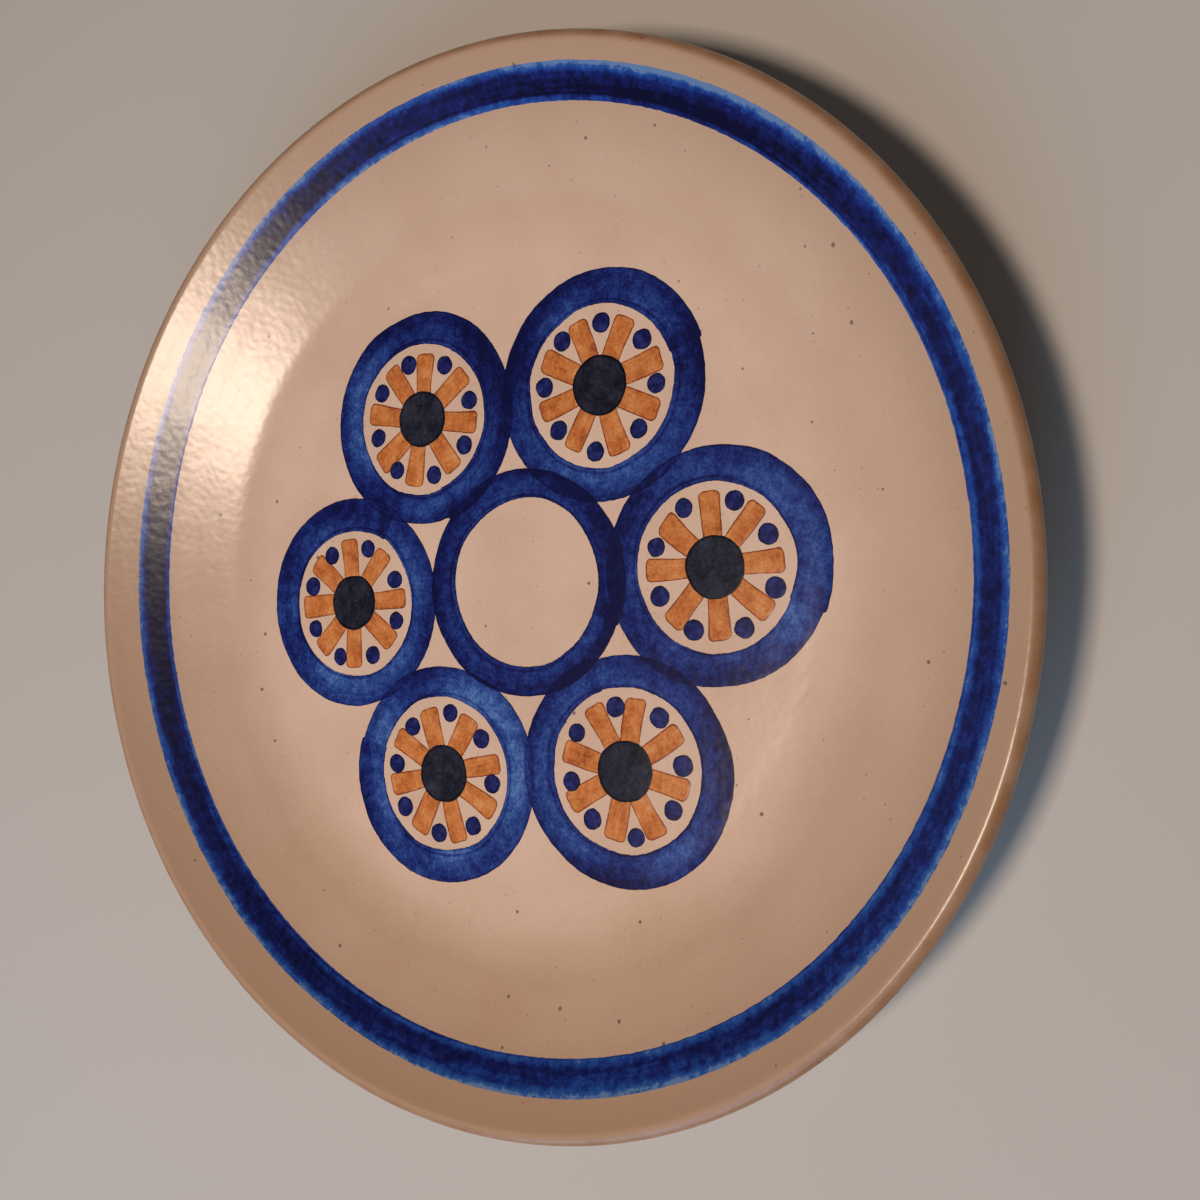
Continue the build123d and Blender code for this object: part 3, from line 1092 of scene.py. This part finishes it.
@dataclass
class Medallion:
    """The middle of the plate: the six roundels' rings and the plain ring over them."""

    form: PlateForm
    ring_outer: float = 28.3 * MM
    ring_width: float = 8.3 * MM
    centre_width: float = 7.5 * MM
    level: float = 0.012 * MM
    first_low: float = 0.010 * MM
    clearance: float = 0.004 * MM
    petal_turns: tuple[float, ...] = (-6, 21, 6, -11, 18, 6)
    joints: tuple[float, ...] = (200, 290, 250, 20, 75, 330)
    loads: tuple[float, ...] = (0.10, 0.06, 0.02, 0.04, -0.07, -0.04)

    def rings(self) -> list[WheelStroke]:
        """Lay out every ring in the order of painting, each over the ones before it."""
        strokes: list[WheelStroke] = []
        for index, (joint, load) in enumerate(zip(self.joints, self.loads)):
            centre, _ = circle_of(f"flower_eye_{index + 1}")
            strokes.append(WheelStroke(
                self.form, centre, self.ring_outer, self.ring_outer - self.ring_width,
                Coat.RING.value + index * self.level, 11.0 * (index + 1), step=0.55 * MM,
                joint=math.radians(joint), extra=load, under=list(strokes),
                low=strokes[-1].height + self.clearance if strokes else self.first_low,
            ))
        centre, radius = circle_of("centre_ring")
        strokes.append(WheelStroke(
            self.form, centre, radius, radius - self.centre_width,
            Coat.RING.value + len(strokes) * self.level, 91.0, step=0.4 * MM,
            joint=math.radians(250), drift=0.22, extra=0.12, under=list(strokes),
            low=strokes[-1].height + self.clearance,
        ))
        return strokes

    def build(self, stains: dict[Slot, bpy.types.Material], dot_stain: bpy.types.Material) -> None:
        """Draw the rings, then the flower in each roundel."""
        names = [f"roundel_ring_{i + 1}" for i in range(len(self.joints))] + ["centre_ring"]
        for node, stroke in zip(names, self.rings()):
            stroke.paint(f"{node}_stroke", stains[Slot.COBALT], node)
        for index, turn in enumerate(self.petal_turns):
            Flower(self.form, index, math.radians(turn)).build(stains, dot_stain)


# ------------------------------------------------------------------ studio
@dataclass
class Studio:
    """A plain pale floor, soft light and the camera."""

    form: PlateForm
    floor_colour: str = "BAB6B0"
    floor_size: float = 4.0
    eye: tuple[float, float, float] = (0.0, -167.8 * MM, 262.5 * MM)
    aim: tuple[float, float] = (-2.2 * MM, -36.5 * MM)
    roll: float = math.radians(-89.4)
    lens: float = 36.0
    sensor: float = 36.0

    def build(self) -> None:
        """Set the floor, the light and the camera."""
        self.floor()
        self.lamp("key", (-0.25, 0.07, 1.08), 0.20, 9.0, "FFE7D1")
        self.lamp("fill", (-1.36, 0.10, 0.85), 1.2, 14.0, "ACD5FF")
        self.world("E9EDF5", 0.03, 0.35)
        self.camera()

    def floor(self) -> None:
        """Lay the floor that the foot ring stands on."""
        mesh = bmesh.new()
        bmesh.ops.create_grid(mesh, x_segments=1, y_segments=1, size=self.floor_size / 2)
        data = bpy.data.meshes.new("floor")
        mesh.to_mesh(data)
        mesh.free()
        shader = Shader("matt_paper_floor")
        data.materials.append(shader.surface({
            "Base Color": linear(self.floor_colour), "Roughness": 0.95,
            "Specular IOR Level": 0.1,
        }))
        floor = bpy.data.objects.new("floor", data)
        bpy.context.scene.collection.objects.link(floor)

    def lamp(self, name: str, place: tuple[float, float, float], size: float, power: float,
             colour: str) -> None:
        """Hang a square lamp that faces the plate.

        Args:
            name: the lamp's name.
            place: where it hangs.
            size: the side of its face.
            power: its power in watts.
            colour: its sRGB colour.
        """
        data = bpy.data.lights.new(name, "AREA")
        data.size = size
        data.energy = power
        data.color = linear(colour)[:3]
        lamp = bpy.data.objects.new(name, data)
        lamp.location = place
        lamp.rotation_mode = "QUATERNION"
        lamp.rotation_quaternion = (-Vector(place)).to_track_quat("-Z", "Y")
        bpy.context.scene.collection.objects.link(lamp)

    def world(self, colour: str, zenith: float, horizon: float) -> None:
        """Fill the room with soft light from pale walls under a darker ceiling.

        Args:
            colour: the room's sRGB colour.
            zenith: how bright it is overhead.
            horizon: how bright it is around and below.
        """
        world = bpy.data.worlds.new("room")
        shader = Shader("room", world)
        way = shader.add("ShaderNodeTexCoord", out="Generated")
        height = shader.add("ShaderNodeSeparateXYZ", {0: way}, "Z")
        strength = shader.reach(height, 0.15, 0.65, horizon, zenith)
        light = shader.add("ShaderNodeBackground", {"Color": linear(colour), "Strength": strength})
        shader.add("ShaderNodeOutputWorld", {"Surface": light})
        bpy.context.scene.world = world

    def camera(self) -> None:
        """Look down over the plate's near edge, with the camera held on its side."""
        data = bpy.data.cameras.new("camera")
        data.lens = self.lens
        data.sensor_width = self.sensor
        data.clip_start = 0.01
        camera = bpy.data.objects.new("camera", data)
        camera.location = self.eye
        aim = Vector((*self.aim, self.form.rim_height))
        camera.rotation_mode = "QUATERNION"
        level = (aim - Vector(self.eye)).to_track_quat("-Z", "Y")
        camera.rotation_quaternion = level @ Quaternion((0, 0, 1), self.roll)
        bpy.context.scene.collection.objects.link(camera)
        bpy.context.scene.camera = camera


def main() -> None:
    """Build the plate's pieces in the order in which it is made, then the studio."""
    logging.basicConfig(level=logging.INFO, format="%(name)s: %(message)s")
    bpy.context.scene.view_settings.view_transform = "Standard"
    form = PlateForm()
    glaze = CreamGlaze().make()
    stains = {
        Slot.COBALT: COBALT.make(),
        Slot.ORANGE: ORANGE.make(),
        Slot.BLACK: BLUE_BLACK.make(),
    }
    ClayBody(form).build(BareClay().make())
    coats = GlazeCoats(form)
    coats.face(glaze)
    coats.back(glaze)
    coats.base(glaze)
    RimBand(form).build(COBALT_BAND.make())
    Medallion(form).build(stains, COBALT_DOT.make())
    Studio(form).build()


if __name__ == "__main__":
    main()
